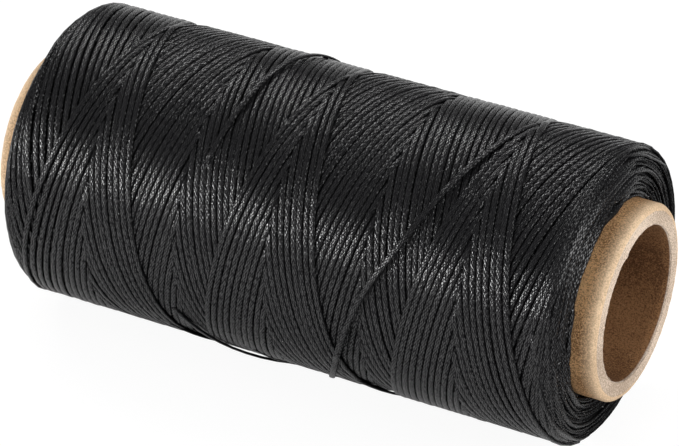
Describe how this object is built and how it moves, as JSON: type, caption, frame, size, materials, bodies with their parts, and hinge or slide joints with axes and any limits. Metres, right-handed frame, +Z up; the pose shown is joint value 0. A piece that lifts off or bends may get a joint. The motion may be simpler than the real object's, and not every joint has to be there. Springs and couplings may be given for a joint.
{
  "type": "waxed thread spool",
  "caption": "Cross-wound package of flat waxed thread on a plain paper tube that stands out at both ends, lying on its side.",
  "frame": {"origin": "on the surface that the spool lies on, under the middle of its length and width", "axes": "+X along the tube towards the end that the picture shows, +Z up, +Y away from the viewer"},
  "size_m": [0.1204, 0.0564, 0.0554],
  "materials": {
    "liner_paper": "dark brown kraft liner, matt and fibrous",
    "tube_board": "cut edge of grey-brown board plies, matt",
    "face_paper": "tan kraft paper with darker fibres, matt",
    "thread": "black flat braided thread with a soft wax sheen"
  },
  "bodies": {
    "root": {"core_liner_ply": "liner_paper", "core_board_plies": "tube_board", "core_face_ply": "face_paper", "thread_inner_layers": "thread", "thread_outer_turns": "thread"}
  },
  "joints": []
}
